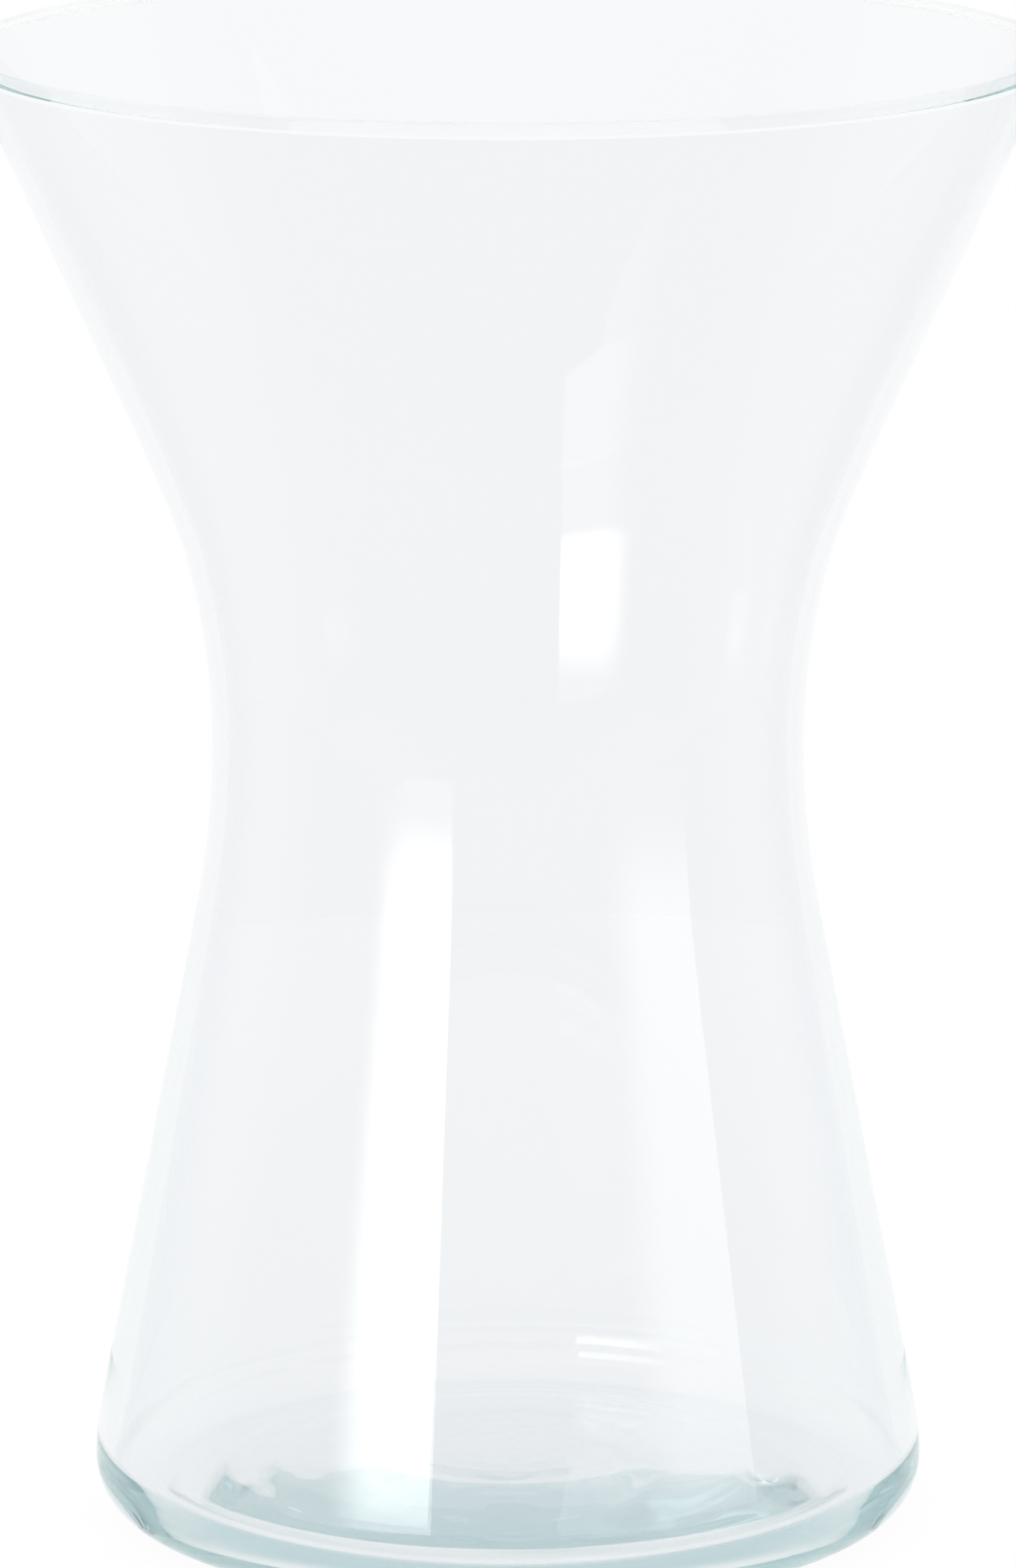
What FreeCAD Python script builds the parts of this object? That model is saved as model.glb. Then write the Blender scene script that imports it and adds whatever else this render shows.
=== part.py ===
import FreeCAD, Part
import cmath
import enum
import math
import os

import Sketcher

# Hyacinth forcing vase: one piece of clear glass, turned about the vertical Z axis.
# The origin is the centre of the flat ring that the vase stands on. Lengths are millimetres, angles degrees.
# From the table up: a reservoir that narrows to the waist, then a bowl that flares to the mouth. The bulb
# sits in the bowl, on the waist, and its roots hang in the water of the reservoir.

SIZES = {
    # heights of the two chambers: table to waist, waist to the top of the lip
    "reservoir_rise": 74.1,
    "bowl_rise": 65.9,
    # outside radii
    "waist_radius": 27.7,
    "mouth_radius": 50.65,
    "belly_radius": 39.05,
    # radii of the curves of the outside, from the heel up
    "heel_curve": 5.6,
    "belly_curve": 24.0,
    "lower_waist_curve": 79.4,
    "upper_waist_curve": 69.0,
    "collar_curve": 19.4,
    "flare_curve": 172.0,
    # how far the side turns outwards in the collar and in the flare
    "collar_bend": 4.8,
    "flare_bend": 4.1,
    # the fire-polished lip: its width, and the two bevels that stand for its round
    "lip_width": 1.2,
    "lip_bevel": 0.4,
    # glass thickness at the waist and, measured across, at the belly
    "waist_wall": 1.5,
    "belly_wall": 2.2,
    # the thick floor: its round corner, the height of its edge and how far its middle bulges up
    "corner_curve": 4.2,
    "floor_edge_height": 2.7,
    "floor_bulge": 3.3,
    # the underside: the ring that touches the table, its inner edge, and the hollow inside it
    "foot_ring_width": 3.0,
    "foot_edge_curve": 12.0,
    "underside_rise": 0.5,
    # the shallow round steps that the mould's bottom plate leaves in the middle of the underside
    "mark_radius": 11.0,
    "mark_pitch": 3.4,
    "mark_depth": 0.15,
}
MARK_COUNT = 3

# Points of the cross-section are complex numbers: radius from the axis + height above the table * 1j.


def new_sheet(doc):
    """The driving dimensions, one row each: name and value, with the name as the cell's alias."""
    sheet = doc.addObject("Spreadsheet::Sheet", "Dimensions")
    for row, (name, value) in enumerate(SIZES.items(), start=1):
        sheet.set("A%d" % row, name)
        sheet.set("B%d" % row, str(value))
        sheet.setAlias("B%d" % row, name)
    doc.recompute()
    return sheet


def slope(angle):
    """Outward normal of a side that leans outwards by this angle from the vertical."""
    return cmath.exp(-1j * angle)


def crossing_normal(low_centre, low_curve, high_centre, high_curve):
    """Angle of the normal of a straight that bears on the low circle's outer side and on the high one's
    inner side."""
    span = high_centre - low_centre
    return cmath.phase(span) - math.acos((low_curve + high_curve) / abs(span))


def dome_curve(edge_centre, edge_curve, crown_height):
    """Radius of the dome whose crown is on the axis and which runs smoothly into the edge's round."""
    drop = edge_centre.imag - crown_height
    spread = edge_centre.real ** 2 + drop ** 2 - edge_curve ** 2
    return spread / (2 * (edge_curve - drop))


class Section:
    """Centres and turning angles of the curves of the cross-section, worked out from the sizes."""

    def __init__(self, sheet):
        self.size = {name: float(sheet.get(name)) for name in SIZES}
        self.foot_and_belly()
        self.waist_and_bowl()
        self.inside()

    def foot_and_belly(self):
        size = self.size
        foot_radius = size["belly_radius"] - size["heel_curve"]
        self.ring_inner_radius = foot_radius - size["foot_ring_width"]
        self.foot_edge_centre = complex(self.ring_inner_radius, size["foot_edge_curve"])
        self.underside_curve = dome_curve(
            self.foot_edge_centre, size["foot_edge_curve"], size["underside_rise"])
        self.underside_centre = 1j * (size["underside_rise"] - self.underside_curve)
        self.heel_centre = complex(foot_radius, size["heel_curve"])
        self.belly_centre = complex(size["belly_radius"] - size["belly_curve"], size["heel_curve"])

    def waist_and_bowl(self):
        size = self.size
        waist = complex(size["waist_radius"], size["reservoir_rise"])
        self.lower_centre = waist + size["lower_waist_curve"]
        self.upper_centre = waist + size["upper_waist_curve"]
        self.cone_normal = crossing_normal(
            self.belly_centre, size["belly_curve"], self.lower_centre, size["lower_waist_curve"])
        self.lip_height = size["reservoir_rise"] + size["bowl_rise"]
        self.lip_outside = complex(size["mouth_radius"], self.lip_height - size["lip_bevel"])

        # The collar, the flare and the straight side above them keep their shape and turn together about
        # the upper waist curve's centre, until the straight meets the lip. Seen from that straight:
        collar_turn = math.radians(size["collar_bend"])
        side_turn = collar_turn + math.radians(size["flare_bend"])
        flare_centre = (size["collar_curve"] - size["upper_waist_curve"]
                        + (size["flare_curve"] - size["collar_curve"]) * slope(collar_turn))
        across = (flare_centre / slope(side_turn)).real - size["flare_curve"]
        reach = self.lip_outside - self.upper_centre
        along = math.sqrt(abs(reach) ** 2 - across ** 2)
        turned = cmath.phase(complex(across, along)) - side_turn - cmath.phase(reach)
        self.waist_angle = math.remainder(turned, math.tau)
        self.collar_angle = self.waist_angle + collar_turn
        self.flare_angle = self.waist_angle + side_turn
        self.collar_centre = self.upper_centre + (
            size["collar_curve"] - size["upper_waist_curve"]) * slope(self.waist_angle)
        self.flare_centre = self.collar_centre + (
            size["flare_curve"] - size["collar_curve"]) * slope(self.collar_angle)

    def inside(self):
        size = self.size
        wall = size["waist_wall"]
        self.lip_inside = self.lip_outside - size["lip_width"]
        reach = self.lip_inside - self.flare_centre
        inner_curve = size["flare_curve"] + wall
        self.inner_flare_angle = math.acos(-inner_curve / abs(reach)) - cmath.phase(reach)
        inner_belly_radius = size["belly_radius"] - size["belly_wall"]
        self.corner_centre = complex(
            inner_belly_radius - size["corner_curve"], size["floor_edge_height"] + size["corner_curve"])
        self.inner_cone_normal = crossing_normal(
            self.corner_centre, size["corner_curve"], self.lower_centre, size["lower_waist_curve"] + wall)
        crown_height = size["floor_edge_height"] + size["floor_bulge"]
        self.floor_curve = dome_curve(self.corner_centre, size["corner_curve"], crown_height)
        self.floor_centre = 1j * (crown_height - self.floor_curve)


class Profile:
    """A sketch in the vertical plane of a body, drawn as a chain of arcs and straights."""

    def __init__(self, body, name):
        plane = next(o for o in body.Origin.OriginFeatures if o.Role == "XZ_Plane")
        self.sketch = body.newObject("Sketcher::SketchObject", name)
        self.sketch.AttachmentSupport = [(plane, "")]
        self.sketch.MapMode = "FlatFace"

    def arc(self, centre, radius, start, end):
        """An arc from one angle to the other, in radians, always counter-clockwise."""
        circle = Part.Circle(vector(centre), FreeCAD.Vector(0, 0, 1), radius)
        return self.sketch.addGeometry(Part.ArcOfCircle(circle, start, end), False)

    def straight(self, start, end):
        return self.sketch.addGeometry(Part.LineSegment(vector(start), vector(end)), False)

    def bind(self, kind, places, value, formula):
        """A dimension that follows the sheet."""
        index = self.sketch.addConstraint(Sketcher.Constraint(kind, *places, value))
        self.sketch.setExpression("Constraints[%d]" % index, formula)

    def tie(self, kind, *places):
        self.sketch.addConstraint(Sketcher.Constraint(kind, *places))


def vector(point):
    return FreeCAD.Vector(point.real, point.imag, 0)


class Place(enum.IntEnum):
    """The numbers that a sketch gives to the places on a piece of geometry."""
    START = 1
    END = 2
    CENTRE = 3


class Axis(enum.IntEnum):
    """The numbers of a sketch's own two axes."""
    LEVEL = -1
    UPRIGHT = -2


START, END, CENTRE = Place
H_AXIS, V_AXIS = Axis
ORIGIN = (H_AXIS, START)


def draw_section(body, section):
    """The cross-section of the glass, fully dimensioned, from the underside round to the floor."""
    size = section.size
    profile = Profile(body, "glass_section")
    quarter = math.pi / 2
    foot_radius = section.heel_centre.real

    # outside, from the middle of the underside up to the lip
    ring_tilt = cmath.phase(section.foot_edge_centre - section.underside_centre)
    underside = profile.arc(section.underside_centre, section.underside_curve, ring_tilt, quarter)
    foot_edge = profile.arc(
        section.foot_edge_centre, size["foot_edge_curve"], ring_tilt + math.pi, 3 * quarter)
    foot_ring = profile.straight(section.ring_inner_radius, foot_radius)
    heel = profile.arc(section.heel_centre, size["heel_curve"], -quarter, 0)
    belly = profile.arc(section.belly_centre, size["belly_curve"], 0, section.cone_normal)
    cone_side = cmath.rect(1, section.cone_normal)
    cone = profile.straight(
        section.belly_centre + size["belly_curve"] * cone_side,
        section.lower_centre - size["lower_waist_curve"] * cone_side)
    lower_waist = profile.arc(
        section.lower_centre, size["lower_waist_curve"], math.pi, math.pi + section.cone_normal)
    upper_waist = profile.arc(
        section.upper_centre, size["upper_waist_curve"], math.pi - section.waist_angle, math.pi)
    collar = profile.arc(
        section.collar_centre, size["collar_curve"],
        math.pi - section.collar_angle, math.pi - section.waist_angle)
    flare = profile.arc(
        section.flare_centre, size["flare_curve"],
        math.pi - section.flare_angle, math.pi - section.collar_angle)
    bowl_side = profile.straight(
        section.flare_centre - size["flare_curve"] * slope(section.flare_angle), section.lip_outside)
    bevel = size["lip_bevel"]
    outer_bevel = profile.straight(section.lip_outside, section.lip_outside + bevel * (-1 + 1j))
    lip = profile.straight(
        section.lip_outside + bevel * (-1 + 1j), section.lip_inside + bevel * (1 + 1j))
    inner_bevel = profile.straight(section.lip_inside + bevel * (1 + 1j), section.lip_inside)

    # inside, from the lip down to the middle of the floor
    wall = size["waist_wall"]
    inner_side = profile.straight(
        section.lip_inside,
        section.flare_centre - (size["flare_curve"] + wall) * slope(section.inner_flare_angle))
    inner_flare = profile.arc(
        section.flare_centre, size["flare_curve"] + wall,
        math.pi - section.inner_flare_angle, math.pi - section.collar_angle)
    inner_collar = profile.arc(
        section.collar_centre, size["collar_curve"] + wall,
        math.pi - section.collar_angle, math.pi - section.waist_angle)
    inner_upper = profile.arc(
        section.upper_centre, size["upper_waist_curve"] + wall, math.pi - section.waist_angle, math.pi)
    inner_lower = profile.arc(
        section.lower_centre, size["lower_waist_curve"] + wall,
        math.pi, math.pi + section.inner_cone_normal)
    cone_side = cmath.rect(1, section.inner_cone_normal)
    inner_cone = profile.straight(
        section.lower_centre - (size["lower_waist_curve"] + wall) * cone_side,
        section.corner_centre + size["corner_curve"] * cone_side)
    corner_tilt = cmath.phase(section.corner_centre - section.floor_centre)
    corner = profile.arc(
        section.corner_centre, size["corner_curve"], corner_tilt - math.pi, section.inner_cone_normal)
    floor = profile.arc(section.floor_centre, section.floor_curve, corner_tilt, quarter)
    middle = profile.straight(
        1j * (size["floor_edge_height"] + size["floor_bulge"]), 1j * size["underside_rise"])

    # each piece runs smoothly into the next, save at the bevels and at the axis
    smooth_joints = [
        (underside, START, foot_edge, START), (foot_edge, END, foot_ring, START),
        (foot_ring, END, heel, START), (heel, END, belly, START), (belly, END, cone, START),
        (cone, END, lower_waist, END), (lower_waist, START, upper_waist, END),
        (upper_waist, START, collar, END), (collar, START, flare, END), (flare, START, bowl_side, START),
        (inner_side, END, inner_flare, START), (inner_flare, END, inner_collar, START),
        (inner_collar, END, inner_upper, START),
        (inner_upper, END, inner_lower, START), (inner_lower, END, inner_cone, START),
        (inner_cone, END, corner, END), (corner, START, floor, START),
    ]
    for joint in smooth_joints:
        profile.tie("Tangent", *joint)
    corners = [
        (bowl_side, END, outer_bevel, START), (outer_bevel, END, lip, START),
        (lip, END, inner_bevel, START), (inner_bevel, END, inner_side, START),
        (floor, END, middle, START), (middle, END, underside, END),
    ]
    for joint in corners:
        profile.tie("Coincident", *joint)

    # the middle lies on the axis, and both domes are level there
    profile.tie("PointOnObject", middle, START, V_AXIS)
    profile.tie("PointOnObject", middle, END, V_AXIS)
    profile.tie("PointOnObject", underside, CENTRE, V_AXIS)
    profile.tie("PointOnObject", floor, CENTRE, V_AXIS)
    # the foot ring lies on the table and the lip is level; the side is upright at the belly and the waist
    profile.tie("PointOnObject", foot_ring, START, H_AXIS)
    profile.tie("Horizontal", foot_ring)
    profile.tie("Horizontal", lip)
    profile.tie("Horizontal", heel, CENTRE, heel, END)
    profile.tie("Horizontal", lower_waist, CENTRE, lower_waist, START)
    # inside and outside share their centres from the lower waist to the flare, so the wall is even there
    profile.tie("Coincident", inner_lower, CENTRE, lower_waist, CENTRE)
    profile.tie("Coincident", inner_upper, CENTRE, upper_waist, CENTRE)
    profile.tie("Coincident", inner_collar, CENTRE, collar, CENTRE)
    profile.tie("Coincident", inner_flare, CENTRE, flare, CENTRE)

    curves = [
        (heel, "heel_curve"), (belly, "belly_curve"), (lower_waist, "lower_waist_curve"),
        (upper_waist, "upper_waist_curve"), (collar, "collar_curve"), (flare, "flare_curve"),
        (corner, "corner_curve"), (foot_edge, "foot_edge_curve"),
    ]
    for piece, name in curves:
        profile.bind("Radius", (piece,), size[name], "Dimensions." + name)
    profile.bind(
        "Radius", (inner_upper,), size["upper_waist_curve"] + wall,
        "Dimensions.upper_waist_curve + Dimensions.waist_wall")
    profile.bind("Angle", (collar,), math.radians(size["collar_bend"]), "Dimensions.collar_bend * 1 deg")
    profile.bind("Angle", (flare,), math.radians(size["flare_bend"]), "Dimensions.flare_bend * 1 deg")
    profile.bind(
        "DistanceX", (foot_ring, START, foot_ring, END), size["foot_ring_width"],
        "Dimensions.foot_ring_width")

    widths = [
        (heel, END, size["belly_radius"], "Dimensions.belly_radius"),
        (lower_waist, START, size["waist_radius"], "Dimensions.waist_radius"),
        (bowl_side, END, size["mouth_radius"], "Dimensions.mouth_radius"),
        (inner_side, START, section.lip_inside.real, "Dimensions.mouth_radius - Dimensions.lip_width"),
        (corner, CENTRE, section.corner_centre.real,
         "Dimensions.belly_radius - Dimensions.belly_wall - Dimensions.corner_curve"),
    ]
    for piece, place, value, formula in widths:
        profile.bind("DistanceX", ORIGIN + (piece, place), value, formula)
    heights = [
        (middle, END, size["underside_rise"], "Dimensions.underside_rise"),
        (middle, START, size["floor_edge_height"] + size["floor_bulge"],
         "Dimensions.floor_edge_height + Dimensions.floor_bulge"),
        (corner, CENTRE, section.corner_centre.imag,
         "Dimensions.floor_edge_height + Dimensions.corner_curve"),
        (lower_waist, START, size["reservoir_rise"], "Dimensions.reservoir_rise"),
        (lip, START, section.lip_height, "Dimensions.reservoir_rise + Dimensions.bowl_rise"),
    ]
    for piece, place, value, formula in heights:
        profile.bind("DistanceY", ORIGIN + (piece, place), value, formula)
    bevels = [
        ("DistanceX", outer_bevel, END, outer_bevel, START),
        ("DistanceY", outer_bevel, START, outer_bevel, END),
        ("DistanceX", inner_bevel, END, inner_bevel, START),
        ("DistanceY", inner_bevel, END, inner_bevel, START),
    ]
    for kind, *places in bevels:
        profile.bind(kind, places, bevel, "Dimensions.lip_bevel")
    return profile.sketch


def turn(body, sketch, kind, name):
    """A full turn of the sketch about the upright axis: a Revolution adds glass, a Groove cuts it."""
    feature = body.newObject("PartDesign::" + kind, name)
    feature.Profile = sketch
    feature.ReferenceAxis = (sketch, ["V_Axis"])
    feature.Angle = 360
    sketch.Visibility = False
    return feature


def draw_mark(body, section, number):
    """Half the cross-section of one mould mark: a flat round step, from the table up into the underside."""
    size = section.size
    profile = Profile(body, "mark_section_%d" % number)
    radius = size["mark_radius"] - number * size["mark_pitch"]
    top = size["underside_rise"] + (number + 1) * size["mark_depth"]
    base = profile.straight(0, radius)
    wall = profile.straight(radius, radius + top * 1j)
    ceiling = profile.straight(radius + top * 1j, top * 1j)
    middle = profile.straight(top * 1j, 0)
    profile.tie("Coincident", base, START, *ORIGIN)
    profile.tie("Coincident", base, END, wall, START)
    profile.tie("Coincident", wall, END, ceiling, START)
    profile.tie("Coincident", ceiling, END, middle, START)
    profile.tie("Coincident", middle, END, base, START)
    profile.tie("Horizontal", base)
    profile.tie("Vertical", wall)
    profile.tie("Horizontal", ceiling)
    profile.tie("Vertical", middle)
    profile.bind(
        "DistanceX", ORIGIN + (wall, END), radius,
        "Dimensions.mark_radius - %d * Dimensions.mark_pitch" % number)
    profile.bind(
        "DistanceY", ORIGIN + (wall, END), top,
        "Dimensions.underside_rise + %d * Dimensions.mark_depth" % (number + 1))
    return profile.sketch


def make_vase(doc, section):
    body = doc.addObject("PartDesign::Body", "glass_vase")
    body.Label = "glass_vase"
    body.Tip = turn(body, draw_section(body, section), "Revolution", "blown_glass")
    doc.recompute()
    uncut = body.Shape.Volume
    for number in range(MARK_COUNT):
        body.Tip = turn(body, draw_mark(body, section, number), "Groove", "mould_mark_%d" % number)
        doc.recompute()
        if body.Shape.Volume >= uncut:
            raise RuntimeError("mould mark %d cuts nothing" % number)
        uncut = body.Shape.Volume
    return body


def check(doc, bodies):
    """Every feature has to be sound before anything is written."""
    for item in doc.Objects:
        if "Invalid" in item.State or "Error" in item.State:
            raise RuntimeError("%s failed: %s" % (item.Label, item.State))
        if item.isDerivedFrom("Sketcher::SketchObject"):
            if item.solve() != 0 or not item.FullyConstrained:
                raise RuntimeError("%s isn't solved and fully constrained" % item.Label)
    for body in bodies:
        shape = body.Shape
        if shape.isNull() or not shape.isValid() or len(shape.Solids) != 1:
            raise RuntimeError("%s isn't one sound solid" % body.Label)
        box = shape.optimalBoundingBox()
        print("%s: %.0f mm3, %.2f x %.2f x %.2f mm" % (
            body.Label, shape.Volume, box.XLength, box.YLength, box.ZLength))


def main():
    doc = FreeCAD.newDocument("hyacinth_vase")
    section = Section(new_sheet(doc))
    bodies = [make_vase(doc, section)]
    doc.recompute()
    check(doc, bodies)
    os.makedirs("parts", exist_ok=True)
    for body in bodies:
        body.Shape.exportStep(os.path.join("parts", body.Label + ".step"))


main()
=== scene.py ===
"""Hyacinth forcing vase: one piece of clear blown glass, standing empty on a white studio table."""
import cmath
import math

import bmesh
import bpy
from mathutils import Matrix, Vector, noise


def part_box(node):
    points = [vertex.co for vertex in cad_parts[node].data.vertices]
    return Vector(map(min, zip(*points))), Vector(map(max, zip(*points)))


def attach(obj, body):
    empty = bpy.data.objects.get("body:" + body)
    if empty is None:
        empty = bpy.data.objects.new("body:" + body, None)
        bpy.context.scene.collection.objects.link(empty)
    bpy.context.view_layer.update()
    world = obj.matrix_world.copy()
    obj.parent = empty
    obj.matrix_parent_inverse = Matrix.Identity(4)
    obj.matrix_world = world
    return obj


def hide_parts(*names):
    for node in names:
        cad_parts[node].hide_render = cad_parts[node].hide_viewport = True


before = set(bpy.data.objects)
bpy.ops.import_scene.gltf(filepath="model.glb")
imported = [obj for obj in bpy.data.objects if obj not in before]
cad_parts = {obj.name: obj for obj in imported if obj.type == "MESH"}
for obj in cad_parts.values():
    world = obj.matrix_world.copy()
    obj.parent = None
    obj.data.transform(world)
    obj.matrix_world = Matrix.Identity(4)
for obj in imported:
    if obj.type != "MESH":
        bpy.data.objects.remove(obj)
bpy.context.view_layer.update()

bl_info = {
    "name": "Hyacinth forcing vase",
    "version": (1, 0, 0),
    "blender": (4, 5, 0),
    "location": "3D View > Sidebar > Vase",
    "description": "Blows a clear hyacinth vase and sets it on a white studio table",
    "category": "Object",
}

NODE = "glass_vase"
LOW, HIGH = (Vector(corner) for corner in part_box(NODE))
MM = 0.001
HAIRLINE = 0.02 * MM
MERGE = 0.001 * MM
WEDGE_STEPS = 32
MOST_BOUNCES = 150
WHITE = (1.0, 1.0, 1.0, 1.0)
FRONT = Vector((0, -1, 0))


def length(name, default, description):
    return bpy.props.FloatProperty(
        name=name, description=description, default=default, precision=5, unit="LENGTH", subtype="DISTANCE")


def angle(name, degrees, description):
    return bpy.props.FloatProperty(
        name=name, description=description, default=math.radians(degrees), precision=3,
        unit="ROTATION", subtype="ANGLE")


def factor(name, default, description):
    return bpy.props.FloatProperty(name=name, description=description, default=default, precision=4)


def colour(name, default, description):
    return bpy.props.FloatVectorProperty(
        name=name, description=description, default=default, size=4, min=0, max=1, subtype="COLOR")


class VaseSizes(bpy.types.PropertyGroup):
    """The sizes of the glass. The height and the width of the mouth come from the frame."""
    height: length("Height", HIGH.z - LOW.z, "From the table to the top of the lip")
    mouth_radius: length("Mouth radius", HIGH.x, "Outside radius of the lip")
    waist_height: length("Waist height", 74.1 * MM, "Height of the narrowest place above the table")
    waist_radius: length("Waist radius", 27.7 * MM, "Outside radius at the waist")
    belly_radius: length("Belly radius", 39.05 * MM, "Outside radius just above the heel")
    heel_curve: length("Heel curve", 5.6 * MM, "Radius of the heel's round")
    belly_curve: length("Belly curve", 24.0 * MM, "Radius of the curve above the heel")
    lower_waist_curve: length("Lower waist curve", 79.4 * MM, "Radius of the side just below the waist")
    upper_waist_curve: length("Upper waist curve", 69.0 * MM, "Radius of the side just above the waist")
    collar_curve: length("Collar curve", 19.4 * MM, "Radius of the short bend under the flare")
    flare_curve: length("Flare curve", 172.0 * MM, "Radius of the slow curve of the flare")
    collar_bend: angle("Collar bend", 4.8, "How far the side turns outwards in the collar")
    flare_bend: angle("Flare bend", 4.1, "How far the side turns outwards in the flare")
    lip_width: length("Lip width", 1.2 * MM, "Thickness of the fire-polished lip")
    waist_wall: length("Waist wall", 1.5 * MM, "Thickness of the glass from the waist up to the flare")
    belly_wall: length("Belly wall", 2.2 * MM, "Thickness of the glass at the belly")
    corner_curve: length("Corner curve", 4.2 * MM, "Radius of the round between the floor and the wall")
    floor_edge_height: length("Floor edge", 2.7 * MM, "Height of the lowest place of the floor")
    floor_bulge: length("Floor bulge", 3.3 * MM, "How far the middle of the floor stands up")
    foot_ring_width: length("Foot ring width", 3.0 * MM, "Width of the ring that touches the table")
    foot_edge_curve: length("Foot edge curve", 12.0 * MM, "Radius of the foot ring's inner edge")
    underside_rise: length("Underside rise", 0.5 * MM, "Depth of the hollow inside the foot ring")
    mark_radius: length("Mark radius", 11.0 * MM, "Radius of the widest ring in the middle of the floor")
    mark_pitch: length("Mark pitch", 2.7 * MM, "Step from one ring to the next")
    mark_depth: length("Mark depth", 0.20 * MM, "Depth of a ring")
    mark_width: length("Mark width", 1.0 * MM, "Half the width of a ring")
    ripple_radius: length("Ripple radius", 23.5 * MM, "Radius of the single ripple outside the rings")
    ripple_depth: length("Ripple depth", 0.12 * MM, "Depth of that ripple")
    wave_radius: length("Wave radius", 28.5 * MM, "Radius of the wave near the floor's edge")
    wave_depth: length("Wave depth", 0.30 * MM, "Depth of that wave")
    wave_width: length("Wave width", 1.2 * MM, "Half the width of that wave")
    unevenness: length("Unevenness", 0.03 * MM, "How far the floor's face wavers up and down")


class GlassFinish(bpy.types.PropertyGroup):
    """How the glass looks."""
    # painted shade: the next two colours dim the light at each crossing of a wall in place of the studio's
    # dim reflections on the glass, the second where the wall is seen edge on
    film: colour("Film", (0.962, 0.963, 0.972, 1.0), "What stays of the light after one wall of the glass")
    edge_film: colour("Edge film", (0.900, 0.908, 0.930, 1.0), "The same where the wall is seen edge on")
    tint: colour("Tint", (0.0, 0.40, 0.42, 1.0), "What stays of the light in very thick glass")
    density: factor("Density", 10.0, "How strongly the glass tints, per metre")
    ior: factor("Refractive index", 1.52, "Bending power of soda-lime glass")
    lip_cover: factor("Lip cover", 0.12, "How much of the lip's round shows. The rest lets the light pass")
    lip_depth: length("Lip depth", 1.20 * MM, "Height of the lip's round")
    most_reflections: factor("Most reflections", 5, "After this many reflections, light leaves the thin wall")
    thin_above: length("Thin above", 12 * MM, "Height above which the glass counts as a thin wall")
    lip_reach: length("Lip reach", 10 * MM, "How far below the lip its light stays in the wall")
    lip_slant: factor("Lip slant", 0.17, "How steeply the round's lower edge slants across the wall")


class StudioSizes(bpy.types.PropertyGroup):
    """The table, the lamps and the camera."""
    table_size: length("Table size", 0.5, "Side of the white table top")
    camera_distance: length("Camera distance", 0.980, "Level distance from the vase's axis to the camera")
    camera_height: length("Camera height", 0.2777, "Height of the camera above the table")
    aim_height: length("Aim height", 0.070, "Height of the place on the axis that the camera looks at")
    focal_length: factor("Focal length", 378.7, "Focal length for a 36 mm wide sensor, in millimetres")
    shade: factor("Shade", 0.80, "Brightness of the studio behind the camera, where white is 1")
    clear_shade: factor("Clear shade", 0.86, "The same, but seen through the glass")
    fill: factor("Fill", 0.5, "Extra light of the studio on the table's paint")
    table_shade: factor("Table shade", 0.80, "Brightness of the table's near part in the glass's reflections")
    glow_share: factor("Glow share", 0.95, "How much of the table shows as even white. The rest is paint")
    foot_shade: colour("Foot shade", (0.56, 0.71, 0.73, 1.0), "Light of the table under the heel's front")
    lamp_height: length("Lamp height", 0.96, "How tall both soft lamps are")
    lamp_centre: length("Lamp centre", 0.32, "Height of the middle of the lamps")
    lamp_distance: length("Lamp distance", 0.9, "Level distance from the vase's axis to each lamp")
    left_bearing: angle("Left bearing", -36.9, "Where the left lamp stands, round from the camera")
    left_width: length("Left width", 0.50, "Width of the left lamp")
    left_light: factor("Left light", 3.6, "Brightness of the left lamp, where white is 1")
    right_bearing: angle("Right bearing", 52.5, "Where the right lamp stands, round from the camera")
    right_width: length("Right width", 0.60, "Width of the right lamp")
    right_light: factor("Right light", 1.5, "Brightness of the right lamp, where white is 1")


def slope(lean):
    """Outward normal of a side that leans outwards by this angle from the vertical."""
    return cmath.exp(-1j * lean)


def crossing_normal(low_centre, low_curve, high_centre, high_curve):
    """Angle of the normal of a straight that bears on the low circle's outer side and on the high one's
    inner side."""
    span = high_centre - low_centre
    return cmath.phase(span) - math.acos((low_curve + high_curve) / abs(span))


def dome_curve(edge_centre, edge_curve, crown_height):
    """Radius of the dome whose crown is on the axis and which runs smoothly into the edge's round."""
    drop = edge_centre.imag - crown_height
    spread = edge_centre.real ** 2 + drop ** 2 - edge_curve ** 2
    return spread / (2 * (edge_curve - drop))


class Outline:
    """Half the cross-section of the glass, drawn upright in front of the axis by one travelling vertex.

    Places are complex numbers: radius from the axis + height above the table * 1j."""
    FINEST_TURN = math.radians(5)
    LONGEST_STEP = 1.25 * MM

    def __init__(self, mesh, start):
        self.mesh = mesh
        self.tip = mesh.verts.new((start.real, 0, start.imag))

    def swing(self, centre, turn):
        """Swings the tip round a centre, anticlockwise where the turn is positive."""
        radius = abs(complex(self.tip.co.x, self.tip.co.z) - centre)
        steps = max(
            math.ceil(abs(turn) / self.FINEST_TURN), math.ceil(abs(turn) * radius / self.LONGEST_STEP), 2)
        swung = bmesh.ops.spin(
            self.mesh, geom=[self.tip], cent=(centre.real, 0, centre.imag), axis=FRONT, angle=turn,
            steps=steps, use_duplicate=False)
        self.tip = next(item for item in swung["geom_last"] if isinstance(item, bmesh.types.BMVert))

    def run(self, end):
        """Runs the tip straight to a place."""
        here = complex(self.tip.co.x, self.tip.co.z)
        steps = math.ceil(abs(end - here) / self.LONGEST_STEP)
        step = (end - here) / steps
        for _ in range(steps):
            grown = bmesh.ops.extrude_vert_indiv(self.mesh, verts=[self.tip])
            self.tip = grown["verts"][0]
            self.tip.co += Vector((step.real, 0, step.imag))


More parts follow.
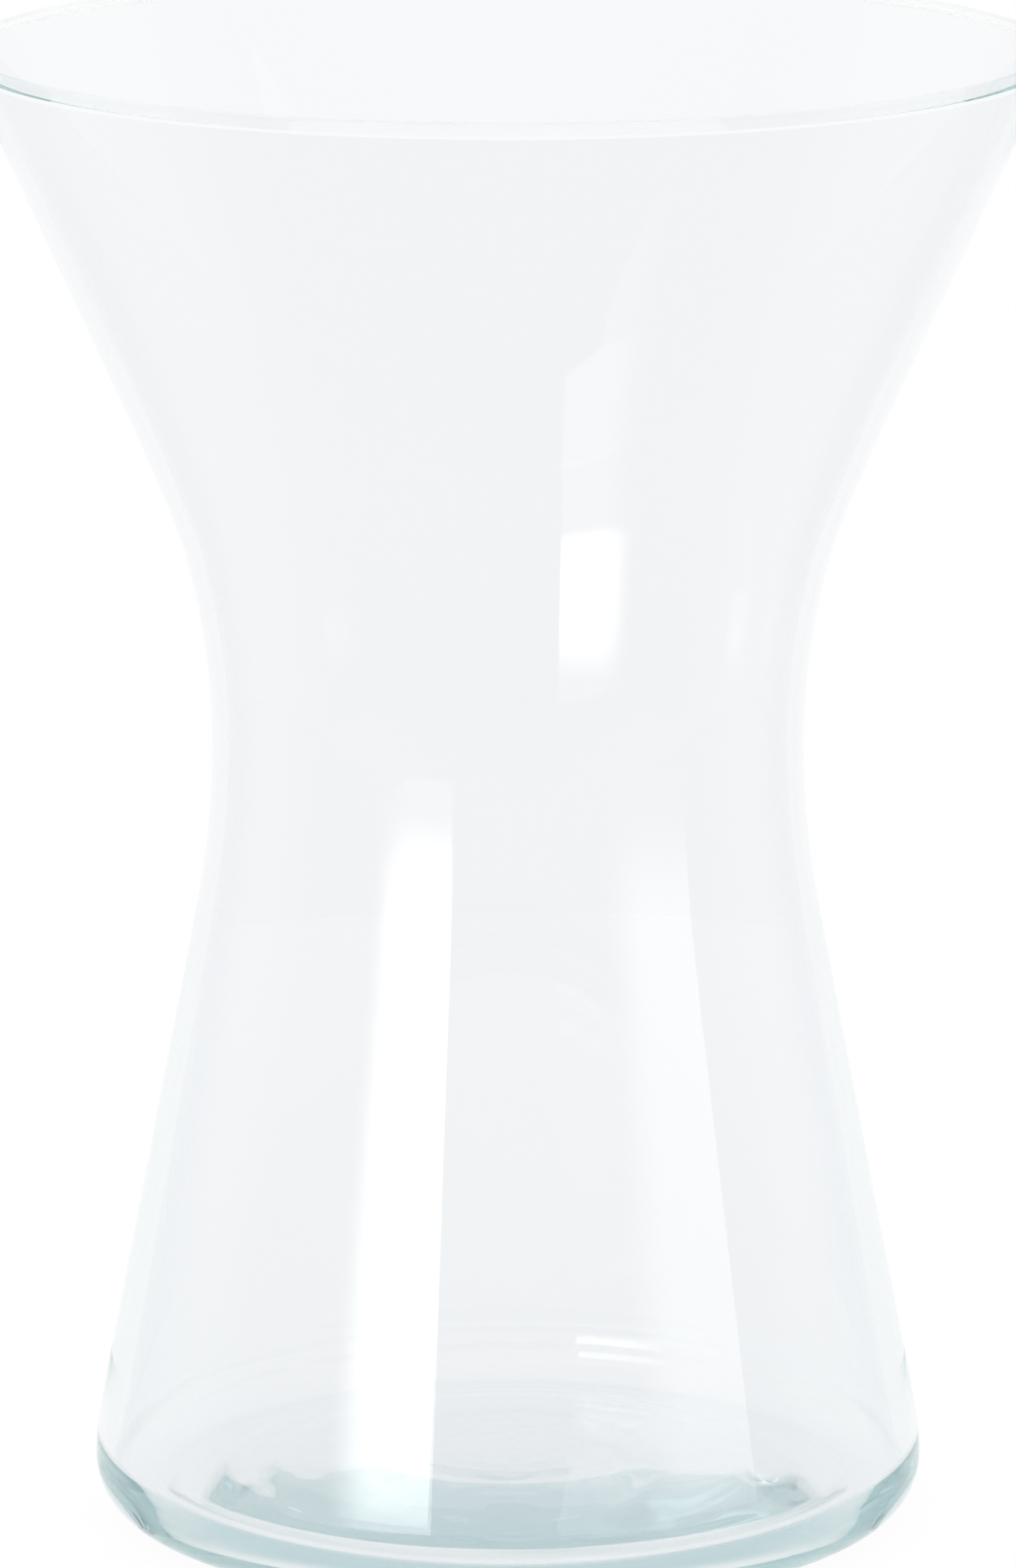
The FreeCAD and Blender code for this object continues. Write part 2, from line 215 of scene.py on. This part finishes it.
def draw_section(mesh, sizes):
    """The glass from the middle of the underside, up the outside, over the lip and down to the floor."""
    wall = sizes.waist_wall
    foot_radius = sizes.belly_radius - sizes.heel_curve
    edge_centre = complex(foot_radius - sizes.foot_ring_width, sizes.foot_edge_curve)
    underside_curve = dome_curve(edge_centre, sizes.foot_edge_curve, sizes.underside_rise)
    underside_centre = 1j * (sizes.underside_rise - underside_curve)
    heel_centre = complex(foot_radius, sizes.heel_curve)
    belly_centre = complex(sizes.belly_radius - sizes.belly_curve, sizes.heel_curve)
    waist = complex(sizes.waist_radius, sizes.waist_height)
    lower_centre = waist + sizes.lower_waist_curve
    upper_centre = waist + sizes.upper_waist_curve
    cone_lean = crossing_normal(
        belly_centre, sizes.belly_curve, lower_centre, sizes.lower_waist_curve)

    # the lip is a full round; the side above the waist turns until it bears on it
    lip_curve = sizes.lip_width / 2
    lip_centre = complex(sizes.mouth_radius - lip_curve, sizes.height - lip_curve)
    side_turn = sizes.collar_bend + sizes.flare_bend
    flare_from_upper = (sizes.collar_curve - sizes.upper_waist_curve
                        + (sizes.flare_curve - sizes.collar_curve) * slope(sizes.collar_bend))
    across = (flare_from_upper / slope(side_turn)).real - sizes.flare_curve - lip_curve
    reach = lip_centre - upper_centre
    along = math.sqrt(abs(reach) ** 2 - across ** 2)
    waist_lean = math.remainder(
        cmath.phase(complex(across, along)) - side_turn - cmath.phase(reach), math.tau)
    collar_lean = waist_lean + sizes.collar_bend
    flare_lean = waist_lean + side_turn
    collar_centre = upper_centre + (sizes.collar_curve - sizes.upper_waist_curve) * slope(waist_lean)
    flare_centre = collar_centre + (sizes.flare_curve - sizes.collar_curve) * slope(collar_lean)
    reach = lip_centre - flare_centre
    inner_flare_lean = math.acos(
        (lip_curve - sizes.flare_curve - wall) / abs(reach)) - cmath.phase(reach)

    corner_centre = complex(
        sizes.belly_radius - sizes.belly_wall - sizes.corner_curve,
        sizes.floor_edge_height + sizes.corner_curve)
    inner_cone_lean = crossing_normal(
        corner_centre, sizes.corner_curve, lower_centre, sizes.lower_waist_curve + wall)
    crown_height = sizes.floor_edge_height + sizes.floor_bulge
    floor_curve = dome_curve(corner_centre, sizes.corner_curve, crown_height)
    floor_centre = 1j * (crown_height - floor_curve)

    quarter = math.pi / 2
    outline = Outline(mesh, 1j * sizes.underside_rise)
    underside_spread = quarter - cmath.phase(edge_centre - underside_centre)
    outline.swing(underside_centre, -underside_spread)
    outline.swing(edge_centre, underside_spread)
    outline.run(complex(foot_radius, 0))
    outline.swing(heel_centre, quarter)
    outline.swing(belly_centre, cone_lean)
    outline.run(lower_centre - sizes.lower_waist_curve * cmath.rect(1, cone_lean))
    outline.swing(lower_centre, -cone_lean)
    outline.swing(upper_centre, -waist_lean)
    outline.swing(collar_centre, -sizes.collar_bend)
    outline.swing(flare_centre, -sizes.flare_bend)
    outline.run(lip_centre + lip_curve * slope(flare_lean))
    outline.swing(lip_centre, math.pi + flare_lean - inner_flare_lean)
    outline.run(flare_centre - (sizes.flare_curve + wall) * slope(inner_flare_lean))
    outline.swing(flare_centre, inner_flare_lean - collar_lean)
    outline.swing(collar_centre, sizes.collar_bend)
    outline.swing(upper_centre, waist_lean)
    outline.swing(lower_centre, inner_cone_lean)
    outline.run(corner_centre + sizes.corner_curve * cmath.rect(1, inner_cone_lean))
    floor_spread = quarter - cmath.phase(corner_centre - floor_centre)
    outline.swing(corner_centre, -(inner_cone_lean + quarter + floor_spread))
    outline.swing(floor_centre, floor_spread)


def press_rings(mesh, sizes):
    """Sinks the faint rings, the ripple and the wave into the floor, each uneven along its round."""
    slack = 0.1 * MM
    fading = 4 * MM
    slow, quick = 60, 220  # swells of the glass per metre
    lowest = sizes.floor_edge_height - slack
    crown = sizes.floor_edge_height + sizes.floor_bulge + slack
    reach = sizes.wave_radius + 3 * sizes.wave_width
    rings = [
        (sizes.wave_radius, sizes.wave_depth, sizes.wave_width),
        (sizes.ripple_radius, sizes.ripple_depth, sizes.mark_width)]
    for number in range(int(sizes.mark_radius / sizes.mark_pitch) + 1):
        rings.append((sizes.mark_radius - number * sizes.mark_pitch, sizes.mark_depth, sizes.mark_width))
    for vertex in mesh.verts:
        radius = math.hypot(vertex.co.x, vertex.co.y)
        if radius < reach and lowest < vertex.co.z < crown:
            here = vertex.co.copy()
            spread = noise.noise(here * slow)
            for ring, depth, width in rings:
                off = (radius - ring) / width
                vertex.co.z -= depth * (1 + spread) * math.exp(-off * off)
            fade = min(1, (reach - radius) / fading)
            vertex.co.z += sizes.unevenness * fade * noise.noise(here * quick)


def copy_turned(mesh, turn):
    """Doubles the mesh by a copy that is turned about the upright axis."""
    copied = bmesh.ops.duplicate(mesh, geom=mesh.verts[:] + mesh.edges[:] + mesh.faces[:])
    bmesh.ops.rotate(
        mesh, verts=[item for item in copied["geom"] if isinstance(item, bmesh.types.BMVert)],
        cent=(0, 0, 0), matrix=Matrix.Rotation(turn, 3, "Z"))


def blow(sizes):
    """The whole vase as one closed mesh: an eighth of the round, doubled three times."""
    wedge = math.tau / 8
    mesh = bmesh.new()
    draw_section(mesh, sizes)
    bmesh.ops.spin(
        mesh, geom=mesh.verts[:] + mesh.edges[:], cent=(0, 0, 0), axis=(0, 0, 1), angle=wedge,
        steps=WEDGE_STEPS, use_duplicate=False)
    for turn in (wedge, 2 * wedge, 4 * wedge):
        copy_turned(mesh, turn)
    bmesh.ops.remove_doubles(mesh, verts=mesh.verts, dist=MERGE)
    press_rings(mesh, sizes)
    bmesh.ops.recalc_face_normals(mesh, faces=mesh.faces)
    for face in mesh.faces:
        face.smooth = True
    return mesh


def place(mesh, name, material):
    """An object at the origin that holds the finished mesh."""
    data = bpy.data.meshes.new(name)
    mesh.to_mesh(data)
    mesh.free()
    data.materials.append(material)
    thing = bpy.data.objects.new(name, data)
    bpy.context.scene.collection.objects.link(thing)
    return thing


class Nodes:
    """Adds nodes to a tree from left to right, and joins them as they come."""
    COLUMN = 200

    def __init__(self, tree):
        self.tree = tree
        tree.nodes.clear()

    def add(self, kind, inputs=None, **settings):
        """A node of this kind. Inputs are plain values, or sockets of other nodes."""
        node = self.tree.nodes.new(kind)
        node.location.x = self.COLUMN * len(self.tree.nodes)
        for name, value in settings.items():
            setattr(node, name, value)
        for name, value in (inputs or {}).items():
            if isinstance(value, bpy.types.NodeSocket):
                self.tree.links.new(value, node.inputs[name])
            else:
                node.inputs[name].default_value = value
        return node

    def math(self, operation, *values):
        """The result of a sum on plain numbers or sockets."""
        node = self.add("ShaderNodeMath", dict(enumerate(values)), operation=operation)
        return node.outputs["Value"]

    def ramp(self, value, low, high, start=0.0, end=1.0):
        """A smooth step from start to end while the value goes from low to high."""
        node = self.add(
            "ShaderNodeMapRange", {
                "Value": value, "From Min": low, "From Max": high, "To Min": start, "To Max": end},
            interpolation_type="SMOOTHSTEP")
        return node.outputs["Result"]


def clear_glass(finish, sizes):
    """Clear soda-lime glass that turns blue-green where it is thick."""
    material = bpy.data.materials.new("clear_glass")
    material.use_nodes = True
    nodes = Nodes(material.node_tree)
    here = nodes.add("ShaderNodeTexCoord").outputs["Object"]
    # the face wavers very faintly and is a little duller in places; its colour holds painted shade, which
    # dims the light at each crossing of a wall to stand in for the studio's dim reflections on the glass,
    # most where the wall is edge on
    ripple = nodes.add("ShaderNodeTexNoise", {"Vector": here, "Scale": 60.0, "Detail": 1.0, "Roughness": 0.4})
    bump = nodes.add("ShaderNodeBump", {
        "Height": ripple.outputs["Fac"], "Strength": 0.01, "Distance": 1.0 * MM})
    smear = nodes.add("ShaderNodeTexNoise", {"Vector": here, "Scale": 25.0, "Detail": 3.0})
    dullest = 0.01
    facing = nodes.add("ShaderNodeLayerWeight", {"Blend": 0.5}).outputs["Facing"]
    film = nodes.add("ShaderNodeMix", {
        0: nodes.ramp(facing, 0.50, 0.76), 6: finish.film, 7: finish.edge_film}, data_type="RGBA").outputs[2]
    axes = nodes.add("ShaderNodeSeparateXYZ", {0: here}).outputs
    # the lip's round is mostly clear, down to a line that lies lower inside than outside at the front of the
    # mouth, and higher at its back
    middle = 10 * MM
    level_place = nodes.add("ShaderNodeCombineXYZ", {"X": axes["X"], "Y": axes["Y"]}).outputs[0]
    radius = nodes.add("ShaderNodeVectorMath", {0: level_place}, operation="LENGTH").outputs["Value"]
    inward = nodes.math("SUBTRACT", sizes.mouth_radius, radius)
    slant = nodes.ramp(axes["Y"], -middle, middle, finish.lip_slant, -finish.lip_slant)
    rise = nodes.math("MULTIPLY_ADD", inward, slant, axes["Z"])
    lip_foot = sizes.height - finish.lip_depth
    cover = nodes.ramp(rise, lip_foot - HAIRLINE, lip_foot + HAIRLINE, 1.0, finish.lip_cover)
    # light that runs on and on inside the thin wall is let out of it
    reflections = nodes.add("ShaderNodeLightPath").outputs["Glossy Depth"]
    trapped = nodes.math("GREATER_THAN", reflections, finish.most_reflections - 0.5)
    above_base = nodes.math("GREATER_THAN", axes["Z"], finish.thin_above)
    below_lip = nodes.math("LESS_THAN", axes["Z"], lip_foot - finish.lip_reach)
    in_wall = nodes.math("MULTIPLY", above_base, below_lip)
    kept = nodes.math("SUBTRACT", 1.0, nodes.math("MULTIPLY", trapped, in_wall))
    cover = nodes.math("MULTIPLY", cover, kept)
    surface = nodes.add("ShaderNodeBsdfPrincipled", {
        "Base Color": film, "Metallic": 0.0, "IOR": finish.ior,
        "Transmission Weight": 1.0, "Alpha": cover,
        "Roughness": nodes.ramp(smear.outputs["Fac"], 0.4, 0.8, 0.0, dullest),
        "Normal": bump.outputs["Normal"]})
    body = nodes.add("ShaderNodeVolumeAbsorption", {"Color": finish.tint, "Density": finish.density})
    nodes.add("ShaderNodeOutputMaterial", {
        "Surface": surface.outputs["BSDF"], "Volume": body.outputs["Volume"]})
    return material


def straight_through(nodes, path):
    """1 for light that comes through glass without any reflection on its way."""
    reflected = nodes.math("MINIMUM", path["Glossy Depth"], 1.0)
    return nodes.math("SUBTRACT", path["Is Transmission Ray"], reflected)


def white_table(studio):
    """White table top. It shows white where it is seen, also through glass, with a little of the vase's
    shadow. Its near part is dimmer in the reflections on the glass, and the glass shows it darker in a ring
    under the front of the heel."""
    material = bpy.data.materials.new("white_table")
    material.use_nodes = True
    nodes = Nodes(material.node_tree)
    here = nodes.add("ShaderNodeTexCoord").outputs["Object"]
    grain = nodes.add("ShaderNodeTexNoise", {"Vector": here, "Scale": 900.0, "Detail": 2.0})
    tone = nodes.add(
        "ShaderNodeMix", {
            0: grain.outputs["Fac"], 6: (0.90, 0.90, 0.90, 1.0), 7: (0.93, 0.93, 0.93, 1.0)},
        data_type="RGBA")
    paint = nodes.add("ShaderNodeBsdfPrincipled", {
        "Base Color": tone.outputs[2], "Roughness": 0.7, "Specular IOR Level": 0.2})
    path = nodes.add("ShaderNodeLightPath").outputs
    # places on the table are measured from the vase's axis, and the near side is the one with Y below 0
    depth = nodes.add("ShaderNodeSeparateXYZ", {0: here}).outputs["Y"]
    dimmed = nodes.ramp(depth, -150 * MM, 50 * MM, studio.table_shade, 1.0)
    clear = nodes.ramp(depth, -200 * MM, -80 * MM, studio.clear_shade, 1.0)
    level = nodes.add("ShaderNodeMix", {0: path["Is Transmission Ray"], 2: dimmed, 3: clear}).outputs[0]
    level = nodes.math("MAXIMUM", level, path["Is Camera Ray"])
    level = nodes.math("MAXIMUM", level, straight_through(nodes, path))
    off_axis = nodes.add("ShaderNodeVectorMath", {0: here}, operation="LENGTH").outputs["Value"]
    past_foot = nodes.ramp(off_axis, 32.5 * MM, 35.5 * MM)
    near_foot = nodes.ramp(off_axis, 40 * MM, 50 * MM, 1.0, 0.0)
    in_front = nodes.ramp(depth, -30 * MM, -5 * MM, 1.0, 0.0)
    front_ring = nodes.math("MULTIPLY", nodes.math("MULTIPLY", past_foot, near_foot), in_front)
    shadow = nodes.math("MULTIPLY", front_ring, path["Is Transmission Ray"])
    glow_colour = nodes.add(
        "ShaderNodeMix", {0: shadow, 6: WHITE, 7: studio.foot_shade}, data_type="RGBA").outputs[2]
    glow = nodes.add("ShaderNodeEmission", {"Color": glow_colour, "Strength": level})
    in_glass = nodes.math("MAXIMUM", path["Is Glossy Ray"], path["Is Transmission Ray"])
    seen = nodes.math("MAXIMUM", path["Is Camera Ray"], in_glass)
    share = nodes.math("MULTIPLY", seen, studio.glow_share)
    mixed = nodes.add("ShaderNodeMixShader", {
        0: share, 1: paint.outputs["BSDF"], 2: glow.outputs["Emission"]})
    nodes.add("ShaderNodeOutputMaterial", {"Surface": mixed.outputs["Shader"]})
    return material


def light_tent(studio):
    """The white studio round the table, darker behind the camera."""
    world = bpy.data.worlds.new("light_tent")
    bpy.context.scene.world = world
    world.use_nodes = True
    nodes = Nodes(world.node_tree)
    path = nodes.add("ShaderNodeLightPath").outputs
    ray = nodes.add("ShaderNodeTexCoord").outputs["Generated"]
    # of a ray's direction, Y is 1 straight away from the camera and Z is 1 straight up
    axes = nodes.add("ShaderNodeSeparateXYZ", {0: ray}).outputs
    beyond_vase = nodes.ramp(axes["Y"], -0.3, 0.3)
    overhead = nodes.ramp(axes["Z"], 0.60, 0.80)
    bright = nodes.math("MAXIMUM", beyond_vase, overhead)
    darkest = nodes.add("ShaderNodeMix", {
        0: path["Is Transmission Ray"], 2: studio.shade, 3: studio.clear_shade}).outputs[0]
    level = nodes.add("ShaderNodeMix", {0: bright, 2: darkest, 3: 1.0}).outputs[0]
    strength = nodes.math("MAXIMUM", level, path["Is Camera Ray"])
    strength = nodes.math("MAXIMUM", strength, straight_through(nodes, path))
    on_paint = nodes.math("MULTIPLY_ADD", path["Is Diffuse Ray"], studio.fill, 1.0)
    strength = nodes.math("MULTIPLY", strength, on_paint)
    glow = nodes.add("ShaderNodeBackground", {"Color": WHITE, "Strength": strength})
    nodes.add("ShaderNodeOutputWorld", {"Surface": glow.outputs["Background"]})


def softbox(studio, name, bearing, width, brightness, front_only):
    """A tall soft lamp that faces the vase, brightest in its lower half, with one crisp upright edge.

    Bearings go from the camera to its right. A front_only lamp doesn't show in the vase's back wall."""
    lamp = bpy.data.lights.new(name, "AREA")
    lamp.shape = "RECTANGLE"
    lamp.size = width
    lamp.size_y = studio.lamp_height
    lamp.energy = brightness * math.pi * width * studio.lamp_height
    lamp.use_nodes = True
    nodes = Nodes(lamp.node_tree)
    place_on_lamp = nodes.add("ShaderNodeNewGeometry").outputs["Parametric"]
    axes = nodes.add("ShaderNodeSeparateXYZ", {0: place_on_lamp}).outputs
    # places on the lamp are shares of its height and width, from its foot and its soft edge
    top_glow, foot_glow = 0.15, 0.10
    upper = nodes.ramp(axes["Y"], 0.46, 0.52, 1.0, top_glow)
    lower = nodes.ramp(axes["Y"], 0.06, 0.26, foot_glow, 1.0)
    soft_edge = nodes.ramp(axes["X"], 0.0, 0.5)
    level = nodes.math("MULTIPLY", nodes.math("MULTIPLY", upper, lower), soft_edge)
    if front_only:
        crossings = nodes.add("ShaderNodeLightPath").outputs["Transmission Depth"]
        level = nodes.math("MULTIPLY", level, nodes.ramp(crossings, 0.0, 1.0, 1.0, 0.0))
    glow = nodes.add("ShaderNodeEmission", {"Strength": level})
    nodes.add("ShaderNodeOutputLight", {"Surface": glow.outputs["Emission"]})
    thing = bpy.data.objects.new(name, lamp)
    thing.location = Matrix.Rotation(bearing, 3, "Z") @ (FRONT * studio.lamp_distance)
    thing.location.z = studio.lamp_centre
    thing.rotation_euler = (math.pi / 2, 0, bearing)
    bpy.context.scene.collection.objects.link(thing)


def set_camera(studio):
    data = bpy.data.cameras.new("studio_camera")
    data.sensor_fit = "HORIZONTAL"
    data.sensor_width = 36.0
    data.lens = studio.focal_length
    data.clip_start = 0.01
    camera = bpy.data.objects.new("studio_camera", data)
    camera.location = FRONT * studio.camera_distance + Vector((0, 0, studio.camera_height))
    view = Vector((0, 0, studio.aim_height)) - camera.location
    camera.rotation_euler = view.to_track_quat("-Z", "Y").to_euler()
    bpy.context.scene.collection.objects.link(camera)
    bpy.context.scene.camera = camera


class BlowGlassVase(bpy.types.Operator):
    """Blow the vase: bowl, waist, reservoir and thick base in one piece of glass"""
    bl_idname = "vase.blow_glass"
    bl_label = "Blow glass vase"

    def execute(self, context):
        scene = context.scene
        vase = place(
            blow(scene.vase_sizes), "blown_vase", clear_glass(scene.glass_finish, scene.vase_sizes))
        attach(vase, "root")
        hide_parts(NODE)
        return {"FINISHED"}


class SetStudio(bpy.types.Operator):
    """Set up the white table, the lamps and the camera"""
    bl_idname = "vase.set_studio"
    bl_label = "Set studio"

    def execute(self, context):
        studio = context.scene.studio_sizes
        mesh = bmesh.new()
        bmesh.ops.create_grid(mesh, x_segments=8, y_segments=8, size=studio.table_size / 2)
        bmesh.ops.translate(mesh, verts=mesh.verts, vec=(0, 0, -HAIRLINE))
        place(mesh, "table_top", white_table(studio))
        light_tent(studio)
        softbox(studio, "left_softbox", studio.left_bearing, studio.left_width, studio.left_light, False)
        softbox(studio, "right_softbox", studio.right_bearing, studio.right_width, studio.right_light, True)
        set_camera(studio)
        context.scene.view_settings.view_transform = "Standard"
        # light runs through many reflections in the thick base before it comes out
        paths = context.scene.cycles
        paths.max_bounces = paths.glossy_bounces = paths.transmission_bounces = MOST_BOUNCES
        return {"FINISHED"}


class VasePanel(bpy.types.Panel):
    """Buttons and sizes in the sidebar of the 3D view"""
    bl_idname = "VIEW3D_PT_hyacinth_vase"
    bl_label = "Hyacinth vase"
    bl_space_type = "VIEW_3D"
    bl_region_type = "UI"
    bl_category = "Vase"

    def draw(self, context):
        for step in STEPS:
            self.layout.operator(step.bl_idname)
        for name in GROUPS:
            group = getattr(context.scene, name)
            for prop in group.bl_rna.properties:
                if prop.identifier in group.__annotations__:
                    self.layout.prop(group, prop.identifier)


STEPS = (SetStudio, BlowGlassVase)
GROUPS = {"vase_sizes": VaseSizes, "glass_finish": GlassFinish, "studio_sizes": StudioSizes}


def register():
    for item in (*GROUPS.values(), *STEPS, VasePanel):
        bpy.utils.register_class(item)
    for name, group in GROUPS.items():
        setattr(bpy.types.Scene, name, bpy.props.PointerProperty(type=group))


def unregister():
    for name in GROUPS:
        delattr(bpy.types.Scene, name)
    for item in (VasePanel, *reversed(STEPS), *reversed(GROUPS.values())):
        bpy.utils.unregister_class(item)


def main():
    register()
    bpy.ops.vase.set_studio()
    bpy.ops.vase.blow_glass()


if __name__ == "__main__":
    main()
